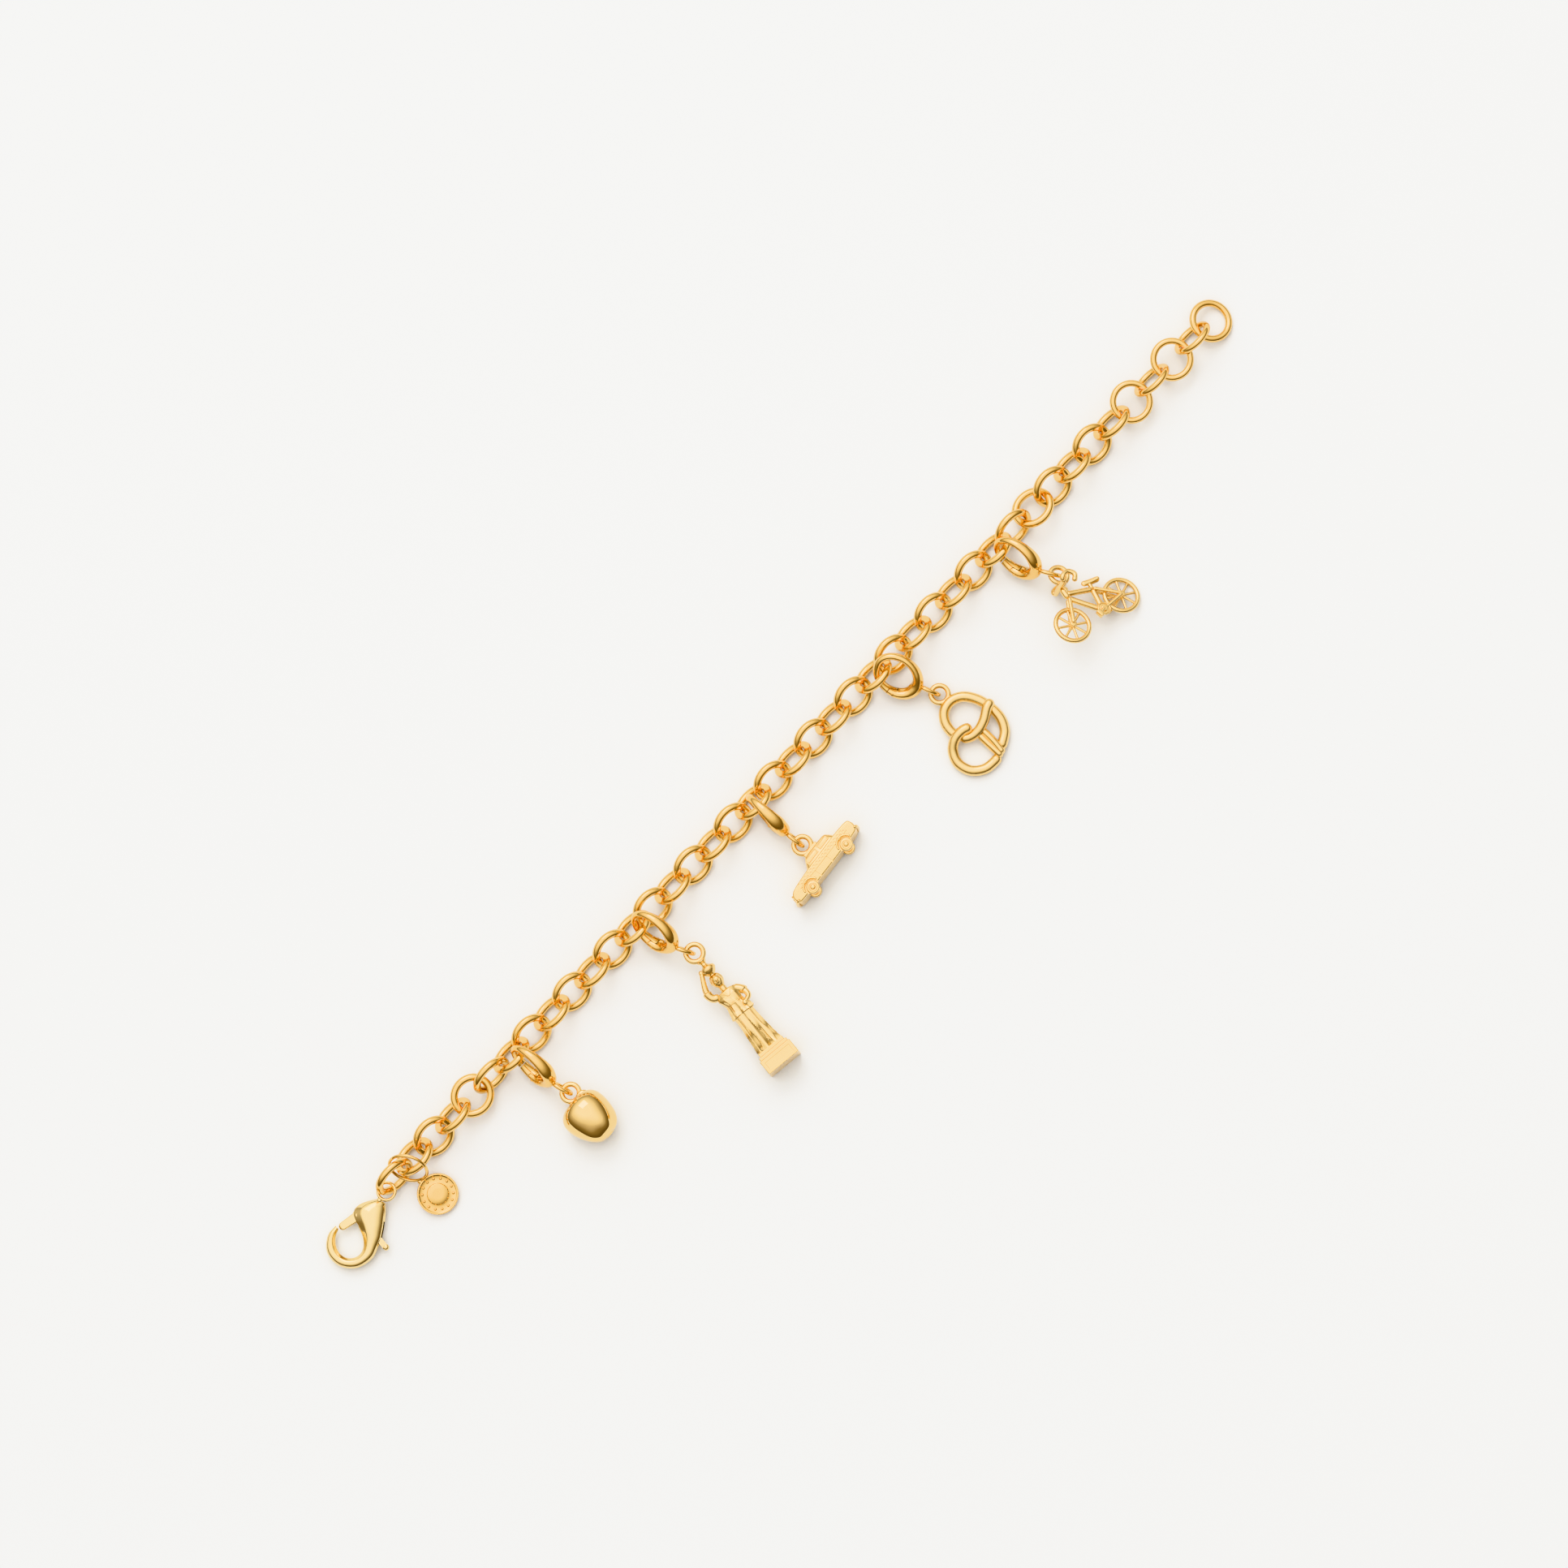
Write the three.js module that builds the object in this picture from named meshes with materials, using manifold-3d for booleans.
// A gold charm bracelet lying open and straight on a table, in millimetres, +Z up.
// +X runs from the lobster clasp to the plain ring at the other end, and the five charms lie towards -Y.
// Every sixth link carries a small oval clip with a hinged gate, and each clip holds one charm by its eye.
import * as THREE from "three";
import { mergeVertices } from "three/addons/utils/BufferGeometryUtils.js";
import { ParametricGeometry } from "three/addons/geometries/ParametricGeometry.js";
import Module from "manifold-3d";

const wasm = await Module();
wasm.setup();

// Chain: oval links, then four round rings and the end ring.
const LINK = { length: 6.5, width: 6.1, wire: 1.1 };
const JUMP_RING = { length: 6.27, width: 6.27, wire: 0.95 };
const END_RING = { length: 6.4, width: 6.4, wire: 1.0 };
const RING_SIDES = 12;
const WIRE_SIDES = 5;
const LINK_COUNT = 41;
const FIRST_JUMP_RING = 38;

// Free play along the chain between one link and the next, for each stretch of links.
const PLAY = [
  { upTo: 6, play: 0.33 },
  { upTo: 30, play: 0.155 },
  { upTo: 41, play: 0.15 },
];
// Sideways line of the chain on the table.
const CHAIN_LINE = [
  { link: 1, y: -0.3 },
  { link: 13, y: -0.3 },
  { link: 25, y: -0.1 },
  { link: 31, y: -0.1 },
  { link: 38, y: 0.3 },
  { link: 42, y: 0.3 },
];
// Links lean to one side and the other in turn. Where the chain twists, a link has its own lean.
const LEAN = 50;
const TWISTS = {
  1: 71, 2: -44, 3: 44, 4: -54, 5: 16, 6: 72, 7: -52,
  32: 64, 33: -22, 34: 48, 36: 44, 37: -54, 38: 14, 39: -60, 40: 10, 41: -58,
};
const HUNG_LINK_SINK = 0.12;
const END_RING_LEAN = 10;
const END_RING_DIP = 17;
const END_RING_PLAY = 0.42;

// Charm clip: an oval ring, thin at the top and swollen at the bottom, with a hinged gate on its left side.
const CLIP = {
  width: 6.3,
  height: 8.0,
  topRadial: 1.0,
  bottomRadial: 1.9,
  topAxial: 1.1,
  bottomAxial: 2.7,
};
const CLIP_STEPS = 18;
const CLIP_SIDES = 6;
const GATE = {
  pivotBelowTop: 5.2, pivotInset: 0.62, length: 2.4, knuckle: 0.8, gap: 0.13,
  tongue: 0.66, slot: 0.86, pin: 0.2, pinClearance: 0.08, pinStand: 0.08,
};
const CLIP_LOOP = { length: 3.5, width: 2.45, wire: 0.62, sunk: 0.45, turn: 12 };
const EYE = { outer: 3.25, wire: 0.74 };
const TABLE_TILTS = [-20, 20];

// Each charm: the link it hangs on, its clip's place on that link, where the loop leaves the clip, the way the
// loop points, how far along the loop the charm's eye lies, and how the charm is turned on the table.
const STATIONS = [
  {
    name: "apple", link: 7, aside: 1.09, below: 3.61, above: 1.48, turn: 69.7, tilt: 9.4, swing: 1.6,
    loopAt: 175, hang: [0.25, -0.9, -0.4], held: 1.4, spin: 4, charmTurn: 0,
  },
  {
    name: "figure", link: 13, aside: 1.8, below: 2.99, above: 2.2, turn: 59.7, tilt: 13.3, swing: 3.2,
    loopAt: 170, hang: [0.42, -0.72, -0.66], held: 1.5, spin: -7, charmTurn: 0,
  },
  {
    name: "car", link: 19, aside: 0, below: 2.95, above: 0.86, turn: 90, tilt: 7.9, swing: 0,
    loopAt: 180, hang: [0.12, -0.92, -0.38], held: 1.4, spin: 6, charmTurn: 0,
  },
  {
    name: "pretzel", link: 25, aside: 2.3, below: 2.85, above: 1.05, turn: 28.8, tilt: 24.3, swing: 3.4,
    loopAt: 158, hang: [0.37, -0.8, -0.6], held: 1.5, spin: 0, charmTurn: 0,
  },
  {
    name: "bicycle", link: 31, aside: 1.36, below: 3.62, above: 1.58, turn: 60.7, tilt: 13.6, swing: 4.3,
    loopAt: 158, hang: [0.5, -0.8, -0.34], held: 1.4, spin: 0, charmTurn: 24,
  },
];

// Lobster clasp, lying flat, with its eye at the origin of its own frame.
const CLASP_MIDDLE = 1.33;
const CLASP_EYE = { outer: 2.95, wire: 0.45, back: 2.3, aside: -0.48, rise: 0.63 };
// Its two edges from the hook's tip, round the hook and over the body to the neck, and half its thickness there.
const CLASP_EDGES = [
  { inner: [-8.6, 1.3], outer: [-8.55, 1.95], thick: 0.45 },
  { inner: [-9.4, 1.0], outer: [-9.95, 1.9], thick: 0.6 },
  { inner: [-10.15, 0.4], outer: [-11.15, 1.25], thick: 0.7 },
  { inner: [-10.7, -0.45], outer: [-12.0, 0.3], thick: 0.72 },
  { inner: [-10.9, -1.3], outer: [-12.35, -0.95], thick: 0.74 },
  { inner: [-10.75, -2.15], outer: [-12.25, -2.3], thick: 0.76 },
  { inner: [-10.3, -2.85], outer: [-11.65, -3.5], thick: 0.78 },
  { inner: [-9.6, -3.3], outer: [-10.6, -4.5], thick: 0.8 },
  { inner: [-8.85, -3.4], outer: [-9.2, -5.0], thick: 0.84 },
  { inner: [-8.1, -3.15], outer: [-7.85, -5.05], thick: 0.9 },
  { inner: [-7.45, -2.6], outer: [-6.5, -4.6], thick: 1.0 },
  { inner: [-6.95, -1.9], outer: [-5.4, -4.2], thick: 1.12 },
  { inner: [-6.65, -1.2], outer: [-4.55, -3.7], thick: 1.22 },
  { inner: [-6.35, -0.4], outer: [-3.65, -3.1], thick: 1.3 },
  { inner: [-6.1, 0.5], outer: [-2.8, -2.4], thick: 1.33 },
  { inner: [-5.75, 1.25], outer: [-2.15, -1.85], thick: 1.3 },
  { inner: [-5.05, 1.65], outer: [-1.8, -1.5], thick: 1.2 },
  { inner: [-4.05, 1.6], outer: [-1.6, -1.25], thick: 1.02 },
  { inner: [-3.1, 1.2], outer: [-1.4, -1.1], thick: 0.84 },
  { inner: [-2.15, 0.6], outer: [-1.35, -0.95], thick: 0.66 },
  { inner: [-1.7, 0.25], outer: [-1.35, -0.9], thick: 0.5 },
];
const CLASP_STEPS = 34;
const CLASP_SIDES = 10;
const CLASP_NECK = { sunk: 0.5, rise: 0.1, half: 0.42 };
const LEVER = {
  pivotX: -5.2, pivotY: 0.6, reach: 3.28, direction: 168, gateHalf: 0.55,
  armHalf: 0.38, armThick: 0.38, armInset: 0.3, boss: 0.85,
  thumbDirection: 265, thumbReach: 6.5, thumbStart: 5.55, thumbHalf: 0.48,
};
const LEVER_SLOT = { half: 0.48, radius: 6.8, gateRadius: 2.2, opening: 27, gap: 0.12, bossRadius: 1.0 };
const LEVER_PIN = { radius: 0.3, clearance: 0.08, sunk: 0.3 };

// Round tag on a thin ring round the first two links. Ring and tag are soldered together.
const TAG = { diameter: 5.9, thickness: 0.85, rim: 0.75, faceSunk: 0.15, dish: 3.0, dots: 14, dot: 0.22 };
const TAG_RING = {
  radius: 2.75, wire: 0.45, x: 2.26, y: -0.78, z: 3.93, normal: [0.708, 0.449, -0.545],
};
const TAG_EYE = { x: 1.95, y: -2.75, z: 1.88 };
const TAG_TILT = 13;
const TAG_SWING = 9;

const GOLD = { colour: 0xe9bd55, roughness: 0.16 };
const PALE_GOLD = { colour: 0xecc975, roughness: 0.24 };
const LEMON_GOLD = { colour: 0xe6cf8e, roughness: 0.2 };

const TURN = Math.PI * 2;
const radians = THREE.MathUtils.degToRad;
const vector = (x, y, z = 0) => new THREE.Vector3(x, y, z);

// Solids

function solidFrom(geometry) {
  const bare = geometry.clone();
  bare.deleteAttribute("normal");
  bare.deleteAttribute("uv");
  const merged = mergeVertices(bare, 1e-4);
  const corners = merged.index.array;
  const kept = [];
  for (let i = 0; i < corners.length; i += 3) {
    const [a, b, c] = [corners[i], corners[i + 1], corners[i + 2]];
    if (a !== b && b !== c && c !== a) kept.push(a, b, c);
  }
  const build = (triVerts) =>
    new wasm.Manifold(
      new wasm.Mesh({
        numProp: 3,
        vertProperties: new Float32Array(merged.attributes.position.array),
        triVerts: new Uint32Array(triVerts),
      }),
    );
  const solid = build(kept);
  return solid.volume() < 0 ? build(kept.reverse()) : solid;
}

const joined = (solids) => solids.reduce((all, next) => all.add(next));

function geometryFrom(solid) {
  const mesh = solid.getMesh();
  const stride = mesh.numProp;
  const places = new Float32Array(mesh.numVert * 3);
  for (let i = 0; i < mesh.numVert; i++) {
    places.set(mesh.vertProperties.subarray(i * stride, i * stride + 3), i * 3);
  }
  const geometry = new THREE.BufferGeometry();
  geometry.setAttribute("position", new THREE.BufferAttribute(places, 3));
  geometry.setIndex(new THREE.BufferAttribute(new Uint32Array(mesh.triVerts), 1));
  geometry.computeVertexNormals();
  return geometry;
}

// A surface through cross-sections, each an oval with its middle and two half-width vectors, closed at both ends.
function loft(sections, sides) {
  const none = vector(0, 0, 0);
  const capped = [
    { ...sections[0], wide: none, tall: none },
    ...sections,
    { ...sections[sections.length - 1], wide: none, tall: none },
  ];
  const surface = (around, along, target) => {
    const row = capped[Math.round(along * (capped.length - 1))];
    const angle = TURN * around;
    const swell = row.flute ? 1 + row.flute * Math.cos(row.flutes * angle) : 1;
    target
      .copy(row.at)
      .addScaledVector(row.wide, Math.cos(angle) * swell)
      .addScaledVector(row.tall, Math.sin(angle) * swell);
  };
  return solidFrom(new ParametricGeometry(surface, sides, capped.length - 1));
}

// A rod along a smooth curve through points. Its half-widths may change from end to end.
function rod(points, half, { sides = 6, steps = 8, thick = half, up = vector(0, 0, 1) } = {}) {
  const curve = new THREE.CatmullRomCurve3(points, false, "centripetal");
  const halfAt = typeof half === "function" ? half : () => half;
  const thickAt = typeof thick === "function" ? thick : () => thick;
  const sections = [];
  for (let i = 0; i <= steps; i++) {
    const along = curve.getTangent(i / steps);
    const wide = new THREE.Vector3().crossVectors(along, up).normalize();
    const tall = new THREE.Vector3().crossVectors(wide, along).normalize();
    sections.push({
      at: curve.getPoint(i / steps),
      wide: wide.multiplyScalar(halfAt(i / steps)),
      tall: tall.multiplyScalar(thickAt(i / steps)),
    });
  }
  return loft(sections, sides);
}

function bar(from, to, half, sides = 6, thick = half) {
  const up = Math.abs(from.z - to.z) > 0.9 * from.distanceTo(to) ? vector(0, 1, 0) : vector(0, 0, 1);
  return rod([from, to], half, { sides, thick, steps: 1, up });
}

function ball(at, half, around = 10, rings = 6) {
  const geometry = new THREE.SphereGeometry(1, around, rings);
  return solidFrom(geometry.scale(half.x, half.y, half.z).translate(at.x, at.y, at.z));
}

function block(at, size) {
  return solidFrom(new THREE.BoxGeometry(size.x, size.y, size.z).translate(at.x, at.y, at.z));
}

// A disc or pin whose axis is Z.
function disc(at, radius, height, sides = 16) {
  const geometry = new THREE.CylinderGeometry(radius, radius, height, sides);
  return solidFrom(geometry.rotateX(Math.PI / 2).translate(at.x, at.y, at.z));
}

// A flat strip between two points at the same height.
function strip(from, to, half, thickness) {
  const length = from.distanceTo(to);
  const geometry = new THREE.BoxGeometry(length, 2 * half, thickness);
  geometry.rotateZ(Math.atan2(to.y - from.y, to.x - from.x));
  return solidFrom(geometry.translate((from.x + to.x) / 2, (from.y + to.y) / 2, (from.z + to.z) / 2));
}

function slab(outline, thickness, bevel = 0) {
  const geometry = new THREE.ExtrudeGeometry(outline, {
    depth: thickness - 2 * bevel,
    bevelEnabled: bevel > 0,
    bevelThickness: bevel,
    bevelSize: bevel,
    bevelOffset: -bevel,
    bevelSegments: 1,
    curveSegments: 6,
  });
  return solidFrom(geometry.translate(0, 0, bevel - thickness / 2));
}

function sector(x, y, radius, from, to, thickness) {
  const outline = new THREE.Shape();
  outline.absarc(x, y, radius, radians(from), radians(to), false);
  outline.lineTo(x, y);
  return slab(outline, thickness);
}

// An oval ring in the XY plane. Its wire may be wider or thicker at some places, told by the turn round the ring.
function ovalRing({ length, width, wire }, sides, wireSides, shape = null) {
  const geometry = new THREE.TorusGeometry(1, 0.5, wireSides, sides);
  const place = geometry.attributes.position;
  const uv = geometry.attributes.uv;
  for (let i = 0; i < place.count; i++) {
    const turn = TURN * uv.getX(i);
    const across = TURN * uv.getY(i);
    const radial = shape ? shape.radial(turn) : wire;
    const axial = shape ? shape.axial(turn) : wire;
    const outward = new THREE.Vector2(Math.cos(turn) / length, Math.sin(turn) / width).normalize();
    const reach = (radial / 2) * (Math.cos(across) - 1);
    place.setXYZ(
      i,
      (length / 2) * Math.cos(turn) + outward.x * reach,
      (width / 2) * Math.sin(turn) + outward.y * reach,
      (axial / 2) * Math.sin(across),
    );
  }
  return solidFrom(geometry);
}

function roundRing(outer, wire, at, sides = RING_SIDES, wireSides = WIRE_SIDES) {
  return ovalRing({ length: outer, width: outer, wire }, sides, wireSides).translate([at.x, at.y, at.z]);
}

// Meshes

function piece(name, solid, finish) {
  const material = new THREE.MeshStandardMaterial({
    color: finish.colour,
    roughness: finish.roughness,
    metalness: 1,
    flatShading: true,
  });
  const mesh = new THREE.Mesh(geometryFrom(solid), material);
  mesh.name = name;
  return mesh;
}

// Chain

const sizeOfLink = (number) => (number < FIRST_JUMP_RING ? LINK : JUMP_RING);
const leanOfLink = (number) => TWISTS[number] ?? (number % 2 === 0 ? LEAN : -LEAN);
const reachOfLink = ({ length, wire }) => (length - wire) / 2;

// Height of a link's middle when its lower side touches the table.
function restHeight(number) {
  const { width, wire } = sizeOfLink(number);
  return ((width - wire) / 2) * Math.abs(Math.sin(radians(leanOfLink(number)))) + wire / 2;
}

function chainY(number) {
  const next = CHAIN_LINE.findIndex((point) => point.link >= number);
  if (next === 0) return CHAIN_LINE[0].y;
  const [from, to] = [CHAIN_LINE[next - 1], CHAIN_LINE[next]];
  return THREE.MathUtils.mapLinear(number, from.link, to.link, from.y, to.y);
}

function chainPlaces() {
  const places = [];
  let x = 0;
  for (let number = 1; number <= LINK_COUNT; number++) {
    const size = sizeOfLink(number);
    if (number > 1) {
      const before = sizeOfLink(number - 1);
      const { play } = PLAY.find((stretch) => stretch.upTo >= number - 1);
      x += reachOfLink(before) + reachOfLink(size) - (before.wire + size.wire) / 2 - play;
    }
    const around = [number - 1, number + 1].filter((n) => n >= 1 && n <= LINK_COUNT).map(restHeight);
    const held = around.reduce((sum, height) => sum + height, 0) / around.length - HUNG_LINK_SINK;
    places[number] = vector(x, chainY(number), Math.max(restHeight(number), held));
  }
  return places;
}

const LINK_PLACES = chainPlaces();

function chain() {
  const shapes = new Map([
    [LINK, ovalRing(LINK, RING_SIDES, WIRE_SIDES)],
    [JUMP_RING, ovalRing(JUMP_RING, RING_SIDES, WIRE_SIDES)],
  ]);
  const meshes = [];
  for (let number = 1; number <= LINK_COUNT; number++) {
    const name = `link_${String(number).padStart(2, "0")}`;
    const link = piece(name, shapes.get(sizeOfLink(number)), GOLD);
    link.position.copy(LINK_PLACES[number]);
    link.rotation.x = radians(leanOfLink(number));
    meshes.push(link);
  }
  return meshes;
}

function endRing() {
  const last = LINK_PLACES[LINK_COUNT];
  const before = sizeOfLink(LINK_COUNT);
  const ring = piece("end_ring", ovalRing(END_RING, RING_SIDES + 4, WIRE_SIDES + 1), GOLD);
  const reach = reachOfLink(END_RING);
  const dip = radians(END_RING_DIP);
  const step = reachOfLink(before) + reach * Math.cos(dip) - (before.wire + END_RING.wire) / 2 - END_RING_PLAY;
  const drop = reach * Math.hypot(Math.sin(dip), Math.cos(dip) * Math.sin(radians(END_RING_LEAN)));
  ring.position.set(last.x + step, chainY(LINK_COUNT + 1), END_RING.wire / 2 + drop);
  ring.rotation.set(radians(END_RING_LEAN), dip, 0, "YXZ");
  return ring;
}

// Clasp

function claspBody() {
  const through = (points) => new THREE.CatmullRomCurve3(points, false, "catmullrom");
  const inner = through(CLASP_EDGES.map((edge) => vector(...edge.inner, edge.thick)));
  const outer = through(CLASP_EDGES.map((edge) => vector(...edge.outer, edge.thick)));
  const sections = [];
  for (let i = 0; i <= CLASP_STEPS; i++) {
    const from = inner.getPoint(i / CLASP_STEPS);
    const to = outer.getPoint(i / CLASP_STEPS);
    sections.push({
      at: vector((from.x + to.x) / 2, (from.y + to.y) / 2),
      wide: vector((to.x - from.x) / 2, (to.y - from.y) / 2),
      tall: vector(0, 0, from.z),
    });
  }
  const { pivotX, pivotY, direction, gateHalf, thumbDirection, armHalf } = LEVER;
  const { radius, gateRadius, opening, gap, bossRadius } = LEVER_SLOT;
  const pivot = vector(pivotX, pivotY);
  const neck = sections[CLASP_STEPS].at;
  const eyeEdge = vector(-(CLASP_EYE.outer - CLASP_EYE.wire) / 2, 0, CLASP_EYE.rise);
  const slotThickness = 2 * LEVER_SLOT.half;
  const armSlot = (way, reach, half) => strip(pivot, leverPoint(way, reach), half + gap, slotThickness);
  const slot = sector(pivotX, pivotY, radius, thumbDirection, thumbDirection + opening, slotThickness)
    .add(sector(pivotX, pivotY, gateRadius, direction, direction + opening, slotThickness))
    .add(armSlot(thumbDirection, radius, armHalf))
    .add(armSlot(thumbDirection + opening, radius, armHalf))
    .add(armSlot(direction, gateRadius, gateHalf))
    .add(armSlot(direction + opening, gateRadius, gateHalf))
    .add(disc(pivot, bossRadius, slotThickness));
  return loft(sections, CLASP_SIDES)
    .subtract(slot)
    .add(disc(pivot, LEVER_PIN.radius, slotThickness + 2 * LEVER_PIN.sunk, 10))
    .add(bar(vector(neck.x - CLASP_NECK.sunk, neck.y, CLASP_NECK.rise), eyeEdge, CLASP_NECK.half))
    .add(roundRing(CLASP_EYE.outer, CLASP_EYE.wire, vector(0, 0, CLASP_EYE.rise), 14));
}

function leverPoint(direction, distance) {
  const turn = radians(direction);
  return vector(LEVER.pivotX + distance * Math.cos(turn), LEVER.pivotY + distance * Math.sin(turn));
}

function claspLever() {
  const { direction, thumbDirection, thumbStart, armHalf, armThick } = LEVER;
  const pivot = leverPoint(0, 0);
  return disc(pivot, LEVER.boss, 2 * armThick, 14)
    .add(strip(pivot, leverPoint(direction, LEVER.reach), LEVER.gateHalf, 2 * armThick))
    .add(strip(pivot, leverPoint(thumbDirection, thumbStart + LEVER.armInset), armHalf, 2 * armThick))
    .add(bar(
      leverPoint(thumbDirection, thumbStart), leverPoint(thumbDirection, LEVER.thumbReach),
      LEVER.thumbHalf, 8, LEVER.thumbHalf,
    ))
    .subtract(disc(pivot, LEVER_PIN.radius + LEVER_PIN.clearance, 4 * LEVER.boss, 14));
}

function clasp() {
  const group = new THREE.Group();
  const first = LINK_PLACES[1];
  group.position.set(first.x - CLASP_EYE.back, first.y + CLASP_EYE.aside, CLASP_MIDDLE);
  group.add(piece("clasp_body", claspBody(), LEMON_GOLD));
  group.add(piece("clasp_lever", claspLever(), LEMON_GOLD));
  return group;
}

// Tag

function tag() {
  const group = new THREE.Group();
  const first = LINK_PLACES[1];
  group.position.set(first.x, first.y, 0);
  const facing = new THREE.Quaternion().setFromUnitVectors(
    vector(0, 0, 1), vector(...TAG_RING.normal).normalize(),
  );
  const ringMatrix = new THREE.Matrix4().compose(
    vector(TAG_RING.x, TAG_RING.y, TAG_RING.z), facing, vector(1, 1, 1),
  );
  const outer = 2 * TAG_RING.radius + TAG_RING.wire;
  const ring = roundRing(outer, TAG_RING.wire, vector(0, 0), 18).transform(ringMatrix.elements);
  const radius = TAG.diameter / 2;
  const middle = vector(0, -radius - 0.35);
  const bead = (turn) => ball(
    vector(
      middle.x + (radius - TAG.rim) * Math.cos(turn),
      middle.y + (radius - TAG.rim) * Math.sin(turn),
      TAG.thickness / 2 - TAG.faceSunk,
    ),
    vector(TAG.dot, TAG.dot, TAG.dot), 6, 4,
  );
  const dots = [];
  for (let i = 0; i < TAG.dots; i++) dots.push(bead(TURN * (i / TAG.dots)));
  const plate = disc(middle, radius, TAG.thickness, 28)
    .subtract(disc(
      vector(middle.x, middle.y, TAG.thickness - TAG.faceSunk), radius - 0.3, TAG.thickness, 24,
    ))
    .add(joined(dots))
    .add(disc(vector(middle.x, middle.y, TAG.thickness / 2 - 0.2), TAG.dish / 2, 0.4, 20))
    .add(bar(vector(0, 0.15), vector(0, -0.9), 0.38, 6, TAG.thickness / 2));
  const hang = new THREE.Matrix4().compose(
    vector(TAG_EYE.x, TAG_EYE.y, TAG_EYE.z),
    new THREE.Quaternion().setFromEuler(new THREE.Euler(radians(TAG_TILT), 0, radians(TAG_SWING), "ZXY")),
    vector(1, 1, 1),
  );
  group.add(piece("tag", plate.transform(hang.elements).add(ring), GOLD));
  return group;
}

// Charm clips

function clipRing() {
  const lowness = (turn) => (1 - Math.sin(turn)) / 2;
  return ovalRing({ length: CLIP.width, width: CLIP.height }, CLIP_STEPS, CLIP_SIDES, {
    radial: (turn) => CLIP.topRadial + (CLIP.bottomRadial - CLIP.topRadial) * lowness(turn) ** 3,
    axial: (turn) => CLIP.topAxial + (CLIP.bottomAxial - CLIP.topAxial) * lowness(turn) ** 1.5,
  });
}

function gatePivot() {
  const y = CLIP.height / 2 - GATE.pivotBelowTop;
  const edge = (CLIP.width / 2) * Math.sqrt(1 - (2 * y / CLIP.height) ** 2);
  return vector(GATE.pivotInset - edge, y);
}

// The clip's ring parted into a body with two cheeks and a gate whose tongue turns between them on a pin.
function clipAndGate() {
  const ring = clipRing();
  const pivot = gatePivot();
  const span = 2 * CLIP.bottomAxial;
  const around = (radius, thickness = span) => disc(pivot, radius, thickness, 20);
  const above = block(vector(pivot.x, pivot.y + CLIP.height), vector(CLIP.width, 2 * CLIP.height, span));
  const reach = (length) => disc(pivot, length, span, 48).intersect(above);
  const { length, knuckle, gap, tongue, slot, pin, pinClearance } = GATE;
  const lowness = (1 - (2 * pivot.y) / CLIP.height) / 2;
  const pinLength = CLIP.topAxial + (CLIP.bottomAxial - CLIP.topAxial) * lowness ** 1.5 + 2 * GATE.pinStand;

  const leaf = ring.intersect(reach(length)).subtract(around(knuckle + gap));
  const inner = ring.intersect(reach(length).add(around(knuckle))).intersect(around(length, tongue));
  const gate = leaf.add(inner).subtract(around(pin + pinClearance));
  const body = ring.subtract(reach(length + gap))
    .add(ring.intersect(around(knuckle)))
    .subtract(around(knuckle + gap, slot))
    .add(disc(pivot, pin, pinLength, 8));
  return { body, gate };
}

// The loop under a clip, in the clip's own frame, lying in a plane through the way the charm hangs.
function clipLoop(station, clipTurn, hook) {
  const way = vector(...station.hang).normalize();
  const side = new THREE.Vector3().crossVectors(way, vector(0, 0, 1)).normalize();
  const up = new THREE.Vector3().crossVectors(side, way);
  const turn = radians(CLIP_LOOP.turn);
  const across = up.multiplyScalar(Math.cos(turn)).addScaledVector(side, Math.sin(turn));
  const back = clipTurn.clone().invert();
  const along = way.clone().applyQuaternion(back);
  across.applyQuaternion(back);
  const basis = new THREE.Matrix4().makeBasis(
    along, across, new THREE.Vector3().crossVectors(along, across),
  );
  basis.setPosition(hook.clone().addScaledVector(along, CLIP_LOOP.length / 2 - CLIP_LOOP.sunk));
  return ovalRing(CLIP_LOOP, RING_SIDES - 2, WIRE_SIDES).transform(basis.elements);
}

function charmStation(station, { body, gate }, charm) {
  const at = LINK_PLACES[station.link];
  const place = vector(at.x + station.aside, at.y - station.below, at.z + station.above);
  const clipTurn = new THREE.Quaternion().setFromEuler(
    new THREE.Euler(radians(station.tilt), radians(-station.turn), radians(station.swing), "ZXY"),
  );
  const loopAt = radians(station.loopAt);
  const hook = vector((CLIP.width / 2) * Math.sin(loopAt), (CLIP.height / 2) * Math.cos(loopAt));

  const clip = new THREE.Group();
  clip.position.copy(place);
  clip.quaternion.copy(clipTurn);
  clip.add(piece(`clip_${station.name}`, body.add(clipLoop(station, clipTurn, hook)), GOLD));
  clip.add(piece(`gate_${station.name}`, gate, GOLD));

  const hung = piece(`charm_${station.name}`, charm, PALE_GOLD);
  const way = vector(...station.hang).normalize();
  const held = hook.applyQuaternion(clipTurn).add(place).addScaledVector(way, station.held);
  layDown(hung, station, held, way);
  return [clip, hung];
}

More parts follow.
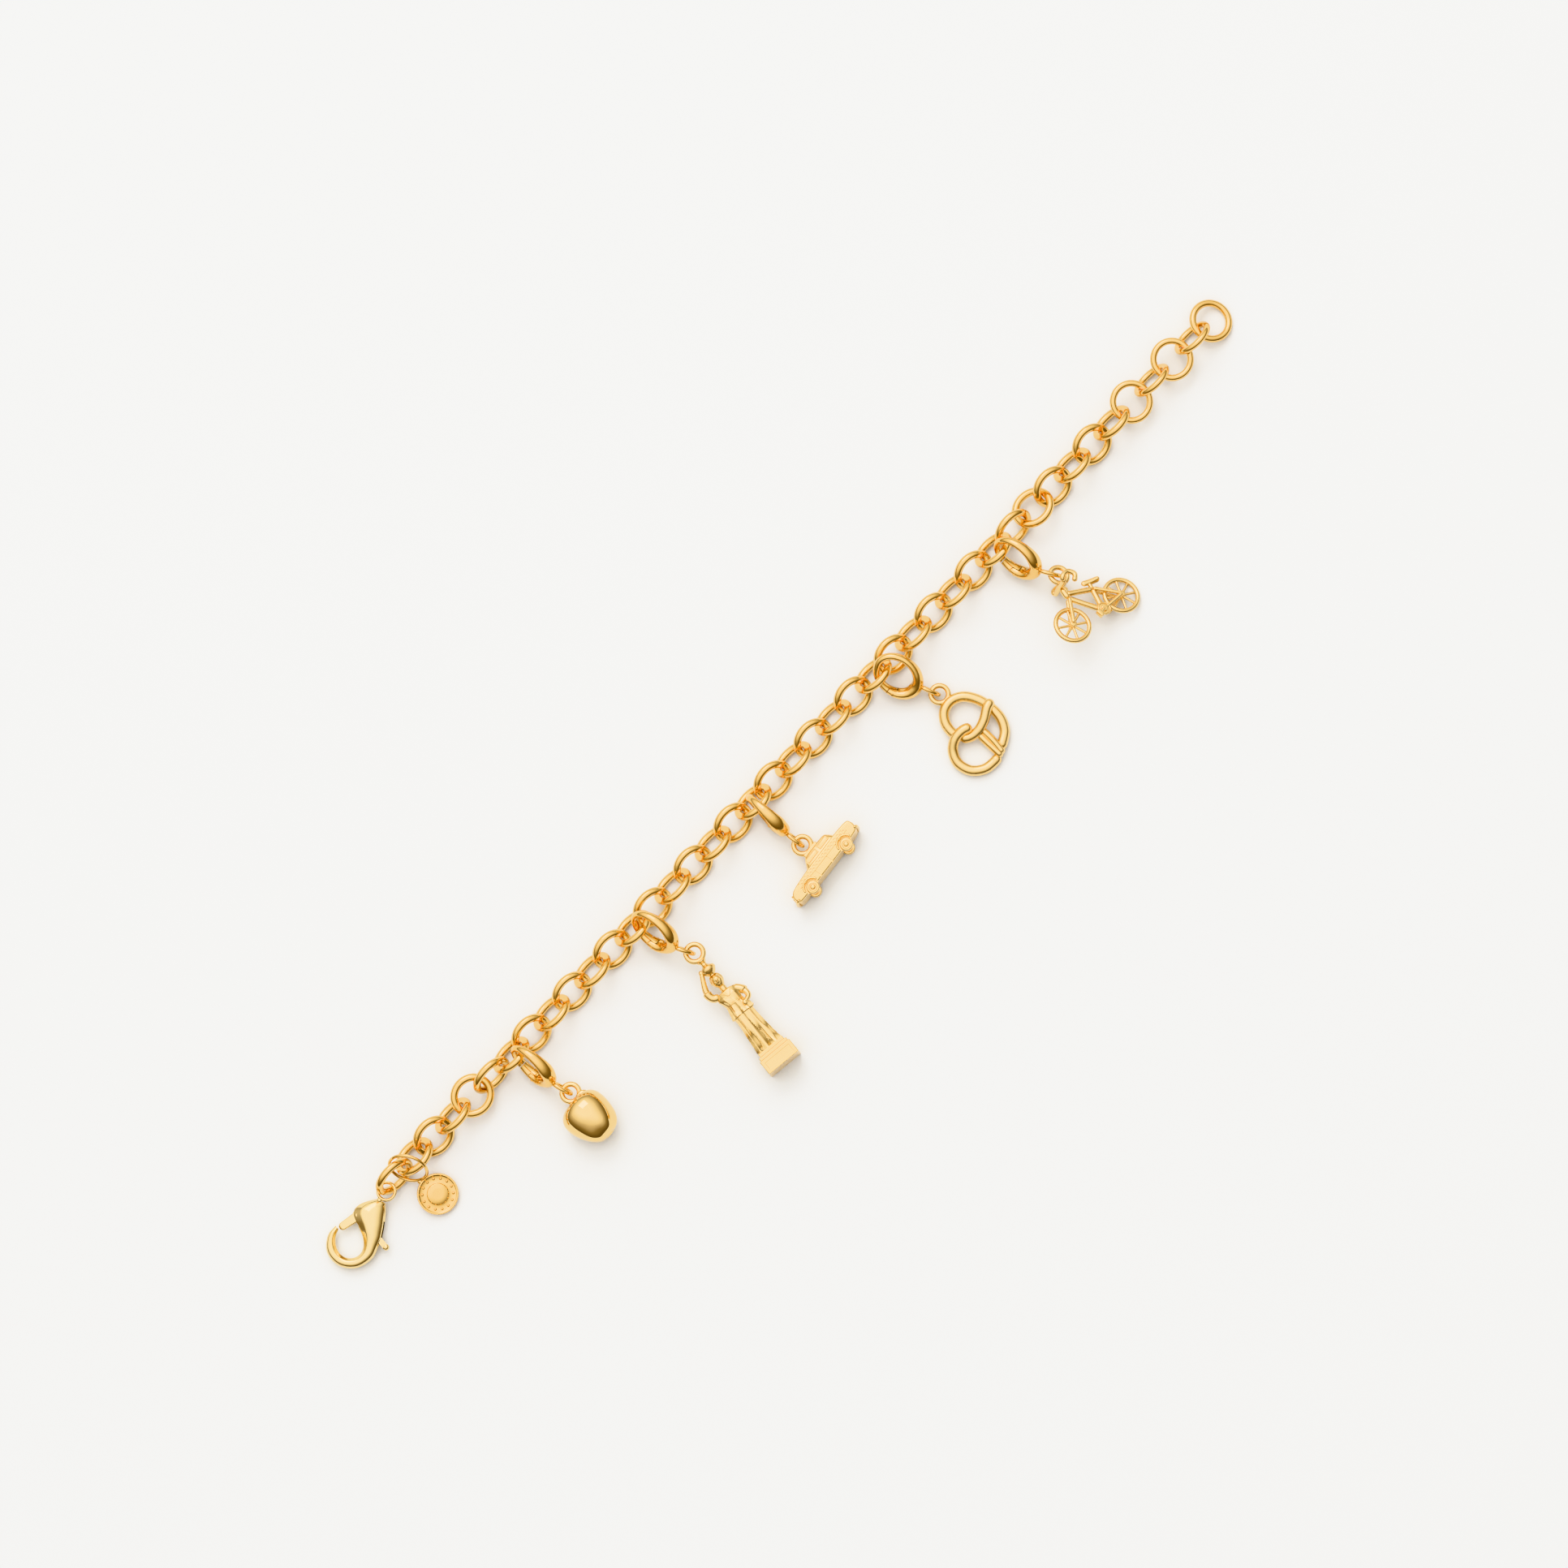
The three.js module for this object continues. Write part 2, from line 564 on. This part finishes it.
// Turns a charm with the side of its eye next to the clip held in place, until its lowest point is on the table.
function layDown(charm, station, held, way) {
  const corners = charm.geometry.attributes.position;
  const corner = vector(0, 0);
  let [low, high] = TABLE_TILTS;
  for (let i = 0; i < 24; i++) {
    const tilt = (low + high) / 2;
    charm.rotation.set(radians(tilt), radians(station.charmTurn), radians(station.spin), "ZXY");
    const facing = vector(0, 0, 1).applyQuaternion(charm.quaternion);
    const outward = way.clone().projectOnPlane(facing).normalize();
    charm.position.copy(held).addScaledVector(outward, (EYE.outer - EYE.wire) / 2);
    charm.updateMatrix();
    let lowest = Infinity;
    for (let k = 0; k < corners.count; k++) {
      lowest = Math.min(lowest, corner.fromBufferAttribute(corners, k).applyMatrix4(charm.matrix).z);
    }
    if (lowest > 0) low = tilt;
    else high = tilt;
  }
}

// Charms, each with its eye's middle at the origin, hanging towards -Y and facing +Z

const charmEye = () => roundRing(EYE.outer, EYE.wire, vector(0, 0), 14);
const EYE_FOOT = -(EYE.outer - EYE.wire) / 2;

const APPLE = { radius: 3.55, height: 6.8, flatten: 0.93, middleX: -0.85, middleBelowEye: 3.45 };
const APPLE_PROFILE = [
  { out: 0, up: -0.86 }, { out: 0.14, up: -0.95 }, { out: 0.34, up: -1.0 }, { out: 0.6, up: -0.8 },
  { out: 0.82, up: -0.4 }, { out: 0.97, up: 0.1 }, { out: 1.0, up: 0.4 }, { out: 0.93, up: 0.75 },
  { out: 0.72, up: 0.97 }, { out: 0.45, up: 1.0 }, { out: 0.2, up: 0.82 }, { out: 0, up: 0.55 },
];
const APPLE_STEM = { half: 0.38, bendX: -0.55, bendBelowEye: 0.35 };
const APPLE_LEAF = {
  points: [{ x: -0.3, below: 0.25, z: 0.2 }, { x: 0.75, below: 0.1, z: 0.4 }, { x: 1.8, below: 0.5, z: 0.3 }],
  edge: 0.12,
  half: 0.5,
  thick: 0.22,
};

function appleCharm() {
  const { radius, height, flatten, middleX } = APPLE;
  const y = EYE_FOOT - APPLE.middleBelowEye;
  const profile = new THREE.SplineCurve(
    APPLE_PROFILE.map(({ out, up }) => new THREE.Vector2(out * radius, (up * height) / 2)),
  ).getPoints(11).map((point) => new THREE.Vector2(Math.max(point.x, 0), point.y));
  profile[0].x = 0;
  profile[profile.length - 1].x = 0;
  const body = solidFrom(
    new THREE.LatheGeometry(profile, 16).scale(1, 1, flatten).translate(middleX, y, 0),
  );
  const dimple = vector(middleX, y + 0.25 * height);
  const bend = vector(APPLE_STEM.bendX, EYE_FOOT - APPLE_STEM.bendBelowEye);
  return body
    .add(rod([dimple, bend, vector(0, EYE_FOOT)], APPLE_STEM.half, { steps: 3 }))
    .add(rod(
      APPLE_LEAF.points.map(({ x, below, z }) => vector(x, EYE_FOOT - below, z)),
      (share) => APPLE_LEAF.edge + (APPLE_LEAF.half - APPLE_LEAF.edge) * Math.sin(Math.PI * share) ** 0.7,
      { steps: 5, thick: APPLE_LEAF.thick },
    ))
    .add(charmEye());
}

const FIGURE = {
  jarTop: -1.45, jarHeight: 2.7, jarRadius: 1.15, jarSunk: 0.1, headHeight: 2.3, headHalf: 0.84, hairBack: 0.3,
  hairUp: 0.3, neckHalf: 0.5, neckSunk: 0.3, postHalf: 0.42, shoulderY: -6.8, hemY: -17.35, flutes: 8, sides: 16,
};
const JAR_PROFILE = [
  { out: 0, down: 0 }, { out: 0.55, down: 0 }, { out: 0.55, down: 0.08 }, { out: 0.36, down: 0.18 },
  { out: 0.42, down: 0.32 }, { out: 0.9, down: 0.48 }, { out: 1.0, down: 0.6 }, { out: 0.8, down: 0.78 },
  { out: 0.46, down: 0.94 }, { out: 0.5, down: 1.0 }, { out: 0, down: 1.0 },
];
// Robe sections from the shoulders to the hem: share of the way down, half-widths, and depth of the flutes.
const ROBE = [
  { down: 0, side: 0.7, front: 0.5, flute: 0 },
  { down: 0.02, side: 1.5, front: 0.72, flute: 0 },
  { down: 0.09, side: 1.68, front: 1.0, flute: 0.02 },
  { down: 0.22, side: 1.35, front: 0.98, flute: 0.05 },
  { down: 0.34, side: 1.62, front: 1.15, flute: 0.08 },
  { down: 0.4, side: 1.8, front: 1.28, flute: 0.11 },
  { down: 0.41, side: 1.55, front: 1.15, flute: 0.07 },
  { down: 0.62, side: 1.6, front: 1.22, flute: 0.09 },
  { down: 0.84, side: 1.78, front: 1.35, flute: 0.11 },
  { down: 1, side: 1.95, front: 1.5, flute: 0.12 },
];
const PLINTH = [
  { top: -17.2, bottom: -17.75, side: 4.3 },
  { top: -17.75, bottom: -18.25, side: 4.9 },
  { top: -18.25, bottom: -20.4, side: 5.3 },
];
const PANEL = { sunk: 0.18, margin: 0.5 };
// Arms from the shoulder to the hand. Heights are from the shoulder line.
const RAISED_ARM = {
  points: [
    { x: -1.1, up: -0.4, z: 0 }, { x: -2.1, up: 0.15, z: 0.1 }, { x: -2.2, up: 1.5, z: 0.2 },
    { x: -1.1, up: 3.85, z: 0.25 },
  ],
  half: 0.58,
  wrist: 0.34,
};
const LOWERED_ARM = {
  points: [
    { x: 1.1, up: -0.4, z: 0 }, { x: 2.05, up: -1.5, z: 0 }, { x: 2.15, up: -2.7, z: 0.45 },
    { x: 1.15, up: -3.3, z: 1.05 },
  ],
  half: 0.58,
  wrist: 0.34,
};

function figureCharm() {
  const { jarTop, jarHeight, jarRadius, headHeight, headHalf, shoulderY, hemY } = FIGURE;
  const jarProfile = JAR_PROFILE.map(
    ({ out, down }) => new THREE.Vector2(out * jarRadius, jarTop - down * jarHeight),
  );
  const jarFoot = jarTop - jarHeight;
  const headY = jarFoot - headHeight / 2 + FIGURE.jarSunk;
  const robe = ROBE.map(({ down, side, front, flute }) => ({
    at: vector(0, THREE.MathUtils.lerp(shoulderY, hemY, down)),
    wide: vector(side, 0),
    tall: vector(0, 0, front),
    flute,
    flutes: FIGURE.flutes,
  }));
  const steps = PLINTH.map(({ top, bottom, side }) =>
    block(vector(0, (top + bottom) / 2), vector(side, top - bottom, side)));
  const lowest = PLINTH[PLINTH.length - 1];
  const panelHeight = lowest.top - lowest.bottom - 2 * PANEL.margin;
  const panelMiddle = (lowest.top + lowest.bottom) / 2;
  const panelLength = lowest.side - 2 * PANEL.margin;
  const panels = [-1, 1].flatMap((face) => {
    const out = (face * (lowest.side + 1 - 2 * PANEL.sunk)) / 2;
    return [
      block(vector(0, panelMiddle, out), vector(panelLength, panelHeight, 1)),
      block(vector(out, panelMiddle, 0), vector(1, panelHeight, panelLength)),
    ];
  });
  const arm = ({ points, half, wrist }) => rod(
    points.map(({ x, up, z }) => vector(x, shoulderY + up, z)),
    (share) => THREE.MathUtils.lerp(half, wrist, share), { steps: 6 },
  );
  return solidFrom(new THREE.LatheGeometry(jarProfile, 12))
    .add(ball(vector(0, headY), vector(headHalf, headHeight / 2, headHalf * 1.12), 10, 8))
    .add(ball(
      vector(0, headY + FIGURE.hairUp, -FIGURE.hairBack),
      vector(headHalf * 1.15, headHeight * 0.36, headHalf * 1.15), 10, 6,
    ))
    .add(bar(vector(0, headY - headHeight / 4), vector(0, shoulderY - FIGURE.neckSunk), FIGURE.neckHalf, 8))
    .add(loft(robe, FIGURE.sides))
    .add(arm(RAISED_ARM))
    .add(arm(LOWERED_ARM))
    .add(joined(steps).subtract(joined(panels)))
    .add(bar(vector(0, EYE_FOOT), vector(0, jarTop - FIGURE.postHalf / 2), FIGURE.postHalf, 8))
    .add(charmEye());
}

const CAR = { width: 4.2, cabinWidth: 3.5, wheel: 0.95, wheelWidth: 0.8, wheelY: -5.2, frontX: -3.95, rearX: 3.75 };
const CAR_BODY = [
  { x: -6.0, y: -5.25 }, { x: -6.75, y: -5.0 }, { x: -6.95, y: -4.3 }, { x: -6.45, y: -3.5 }, { x: -5.2, y: -3.2 },
  { x: -2.2, y: -3.0 }, { x: 3.4, y: -2.9 }, { x: 6.0, y: -3.05 }, { x: 6.6, y: -3.5 }, { x: 6.55, y: -4.6 },
  { x: 5.7, y: -5.1 }, { x: 2.0, y: -5.25 },
];
const CAR_CABIN = [
  { x: -2.5, y: -3.2 }, { x: -1.75, y: -2.2 }, { x: -1.1, y: -1.68 }, { x: 1.0, y: -1.55 }, { x: 2.6, y: -1.66 },
  { x: 3.2, y: -2.1 }, { x: 3.75, y: -3.2 },
];
const CAR_WINDOWS = [{ from: -1.75, to: 0.55 }, { from: 0.85, to: 2.75 }];
const CAR_WINDOW = { top: -1.95, bottom: -2.85, sunk: 0.14 };
const ROOF_BOX = { from: -1.2, to: 1.5, top: -1.12, bottom: -1.75, width: 1.5 };
const CAR_LAMP = { from: -6.3, to: -7.05, y: -4.05, apart: 1.45, half: 0.42 };
const CAR_BUMPER = { frontX: -6.9, frontY: -4.85, rearX: 6.55, rearY: -4.65, half: 0.3, short: 0.15 };
const CAR_HUB = { radius: 0.45, proud: 0.08 };

const outlineOf = (points) => new THREE.Shape(points.map(({ x, y }) => new THREE.Vector2(x, y)));

function carCharm() {
  const { width, cabinWidth, wheel, wheelWidth, wheelY, frontX, rearX } = CAR;
  const sides = [-1, 1];
  const axles = [frontX, rearX];
  const corners = axles.flatMap((x) => sides.map((side) => ({ x, side })));
  const arches = corners.map(({ x, side }) =>
    disc(vector(x, wheelY + 0.1, side * width / 2), wheel + 0.2, wheelWidth, 16));
  const wheels = corners.map(({ x, side }) => {
    const z = side * (width - wheelWidth) / 2;
    return disc(vector(x, wheelY, z), wheel, wheelWidth, 14)
      .add(disc(vector(x, wheelY, z + side * CAR_HUB.proud), CAR_HUB.radius, wheelWidth, 10));
  });
  const windows = CAR_WINDOWS.flatMap(({ from, to }) => sides.map((side) => block(
    vector(
      (from + to) / 2,
      (CAR_WINDOW.top + CAR_WINDOW.bottom) / 2,
      side * (cabinWidth / 2 + 0.5 - CAR_WINDOW.sunk),
    ),
    vector(to - from, CAR_WINDOW.top - CAR_WINDOW.bottom, 1),
  )));
  const lamps = sides.map((side) => bar(
    vector(CAR_LAMP.from, CAR_LAMP.y, side * CAR_LAMP.apart),
    vector(CAR_LAMP.to, CAR_LAMP.y, side * CAR_LAMP.apart), CAR_LAMP.half, 8,
  ));
  const reach = width / 2 - CAR_BUMPER.short;
  const bumper = (x, y) => bar(vector(x, y, -reach), vector(x, y, reach), CAR_BUMPER.half, 6);
  return slab(outlineOf(CAR_BODY), width, 0.3)
    .subtract(joined(arches))
    .add(slab(outlineOf(CAR_CABIN), cabinWidth, 0.25).subtract(joined(windows)))
    .add(joined(wheels))
    .add(joined(lamps))
    .add(bumper(CAR_BUMPER.frontX, CAR_BUMPER.frontY))
    .add(bumper(CAR_BUMPER.rearX, CAR_BUMPER.rearY))
    .add(block(
      vector((ROOF_BOX.from + ROOF_BOX.to) / 2, (ROOF_BOX.top + ROOF_BOX.bottom) / 2),
      vector(ROOF_BOX.to - ROOF_BOX.from, ROOF_BOX.top - ROOF_BOX.bottom, ROOF_BOX.width),
    ))
    .add(charmEye());
}

const DOUGH = { half: 0.76, thick: 0.76, step: 0.6, barHalf: 0.56 };
// Strands of the pretzel, each a chain of points with its height in layers.
const PRETZEL_STRANDS = {
  arch: [
    { x: -2.5, y: -6.9, layer: 0 }, { x: -2.75, y: -4.9, layer: 0 }, { x: -2.35, y: -3.3, layer: 0 },
    { x: -1.2, y: -2.1, layer: 0 }, { x: 0.5, y: -1.85, layer: 0 }, { x: 2.1, y: -2.7, layer: 0 },
    { x: 3.15, y: -4.4, layer: 0 }, { x: 3.6, y: -6.4, layer: 0 }, { x: 3.5, y: -8.6, layer: 0 },
    { x: 2.6, y: -10.3, layer: 0 }, { x: 1.1, y: -11.3, layer: 0.3 }, { x: 0.3, y: -11.7, layer: 0.6 },
  ],
  lobe: [
    { x: -0.3, y: -6.6, layer: 1.6 }, { x: -1.6, y: -6.05, layer: 1.7 }, { x: -3.2, y: -6.1, layer: 1.2 },
    { x: -4.6, y: -7.0, layer: 0.4 }, { x: -5.35, y: -8.7, layer: 0 }, { x: -4.9, y: -10.7, layer: 0 },
    { x: -3.4, y: -12.0, layer: 0 }, { x: -1.7, y: -12.3, layer: 0 }, { x: -0.5, y: -12.2, layer: 0.3 },
  ],
  cross: [
    { x: -2.6, y: -6.5, layer: 0.3 }, { x: -1.5, y: -7.4, layer: 0.7 }, { x: 0, y: -7.65, layer: 1.2 },
    { x: 1.6, y: -7.2, layer: 1.5 }, { x: 3.2, y: -6.3, layer: 1.7 }, { x: 4.5, y: -6.0, layer: 1.3 },
  ],
  left_bar: [
    { x: -0.35, y: -7.7, layer: 0.3 }, { x: -0.4, y: -10, layer: 0.5 }, { x: -0.35, y: -12.65, layer: 0.5 },
  ],
  right_bar: [
    { x: 0.45, y: -7.9, layer: 0.5 }, { x: 0.4, y: -10.2, layer: 0.8 }, { x: 0.1, y: -12.5, layer: 0.6 },
  ],
};

function pretzelCharm() {
  const strands = Object.entries(PRETZEL_STRANDS).map(([name, points]) => {
    const half = name.endsWith("bar") ? DOUGH.barHalf : DOUGH.half;
    return rod(points.map(({ x, y, layer }) => vector(x, y, layer * DOUGH.step)), half, {
      sides: 8, steps: points.length * 2 - 2, thick: DOUGH.thick,
    });
  });
  return joined(strands).add(charmEye());
}

const WHEEL = { outer: 5.6, wire: 0.68, spokes: 8, spoke: 0.22, hub: 0.46, hubLength: 1.5 };
const BICYCLE = {
  front: { x: -4.5, y: -6.6 },
  rear: { x: 4.55, y: -8.2 },
  head: { x: -1.35, y: -1.7 },
  headFoot: { x: -1.75, y: -3.4 },
  seat: { x: 2.05, y: -4.75 },
  crank: { x: 0.75, y: -8.0 },
  tube: 0.42,
  headTube: 0.46,
  fork: 0.31,
  chainStay: 0.29,
  seatStay: 0.26,
  forkGap: 0.75,
  crankGap: 0.4,
  topTubeBelowHead: 1.0,
  topTubeBack: 0.15,
};
const CHAINRING = { radius: 0.95, thick: 0.5, aside: 0.45, axle: 0.5, axleLength: 2.1 };
const PEDAL = { crank: 1.5, drop: 0.25, aside: 0.95, half: 0.26, width: 0.7, length: 1.1, thick: 0.9 };
const SADDLE = { x: 2.75, y: -3.7, length: 2.9, half: 0.62, thick: 0.42, slope: -22, forward: 0.35 };
const HANDLEBAR = {
  half: 0.4, width: 2.5, rise: 0.35,
  drop: [
    { x: -0.15, up: 0, inward: 0.4 }, { x: 0.2, up: 0.5, inward: 0 }, { x: 1.3, up: 0.55, inward: 0 },
    { x: 1.8, up: -0.4, inward: 0 }, { x: 0.9, up: -1.2, inward: 0 },
  ],
};

function bicycleWheel({ x, y }) {
  const spokes = [];
  const inner = WHEEL.outer / 2 - WHEEL.wire * 0.6;
  for (let i = 0; i < WHEEL.spokes; i++) {
    const turn = TURN * ((i + 0.35) / WHEEL.spokes);
    spokes.push(bar(vector(x, y), vector(x + inner * Math.cos(turn), y + inner * Math.sin(turn)), WHEEL.spoke, 4));
  }
  return roundRing(WHEEL.outer, WHEEL.wire, vector(x, y), 18)
    .add(joined(spokes))
    .add(disc(vector(x, y), WHEEL.hub, WHEEL.hubLength, 8));
}

function bicycleCharm() {
  const { front, rear, head, headFoot, seat, crank, tube, fork, chainStay, seatStay, forkGap, crankGap } = BICYCLE;
  const at = ({ x, y }, z = 0) => vector(x, y, z);
  const sides = [-1, 1];
  const forks = sides.map((side) => bar(at(headFoot, side * crankGap), at(front, side * forkGap), fork, 5));
  const chainStays = sides.map((side) => bar(at(crank, side * crankGap), at(rear, side * forkGap), chainStay, 5));
  const seatStays = sides.map((side) => bar(at(seat, side * crankGap), at(rear, side * forkGap), seatStay, 5));
  const slope = radians(SADDLE.slope);
  const saddleEnd = (side) => vector(
    SADDLE.x + side * (SADDLE.length / 2) * Math.cos(slope),
    SADDLE.y + side * (SADDLE.length / 2) * Math.sin(slope),
  );
  const barY = head.y + HANDLEBAR.rise;
  const drop = (side) => rod(
    HANDLEBAR.drop.map(({ x, up, inward }) => vector(head.x + x, barY + up, side * (HANDLEBAR.width - inward))),
    HANDLEBAR.half, { steps: 7 },
  );
  const crossbar = bar(
    vector(head.x, barY, -HANDLEBAR.width), vector(head.x, barY, HANDLEBAR.width), HANDLEBAR.half, 6,
  );
  const pedals = sides.map((side) => {
    const end = { x: crank.x - side * PEDAL.crank, y: crank.y - PEDAL.drop };
    return bar(at(crank, side * PEDAL.aside), at(end, side * PEDAL.aside), PEDAL.half, 5).add(block(
      at(end, side * (PEDAL.aside + PEDAL.thick / 2)), vector(PEDAL.width, PEDAL.length, PEDAL.thick),
    ));
  });
  return bicycleWheel(front)
    .add(bicycleWheel(rear))
    .add(joined([...forks, ...chainStays, ...seatStays]))
    .add(bar(at(head), at(headFoot), BICYCLE.headTube, 8))
    .add(bar(at({ x: head.x - BICYCLE.topTubeBack, y: head.y - BICYCLE.topTubeBelowHead }), at(seat), tube, 6))
    .add(bar(at(headFoot), at(crank), tube, 6))
    .add(bar(at(seat), at(crank), tube, 6))
    .add(bar(at(seat), vector(SADDLE.x - SADDLE.forward, SADDLE.y), fork, 6))
    .add(rod([saddleEnd(-1), saddleEnd(0), saddleEnd(1)], SADDLE.thick, {
      steps: 4, sides: 8, thick: (share) => SADDLE.half * (0.45 + 0.75 * share),
    }))
    .add(disc(at(crank, CHAINRING.aside), CHAINRING.radius, CHAINRING.thick, 14))
    .add(disc(at(crank), CHAINRING.axle, CHAINRING.axleLength, 8))
    .add(joined(pedals))
    .add(crossbar)
    .add(drop(-1))
    .add(drop(1))
    .add(bar(vector(0, EYE_FOOT), vector(head.x, barY), tube, 6))
    .add(charmEye());
}

const CHARMS = {
  apple: appleCharm,
  figure: figureCharm,
  car: carCharm,
  pretzel: pretzelCharm,
  bicycle: bicycleCharm,
};

// The whole bracelet, moved so that the middle of its underside is the origin

const bracelet = new THREE.Group();
bracelet.add(...chain(), endRing(), clasp(), tag());
const plainClip = clipAndGate();
for (const station of STATIONS) {
  bracelet.add(...charmStation(station, plainClip, CHARMS[station.name]()));
}

const whole = new THREE.Box3().setFromObject(bracelet, true);
const middle = whole.getCenter(vector(0, 0));
for (const part of bracelet.children) part.position.sub(vector(middle.x, middle.y, whole.min.z));

export default bracelet;
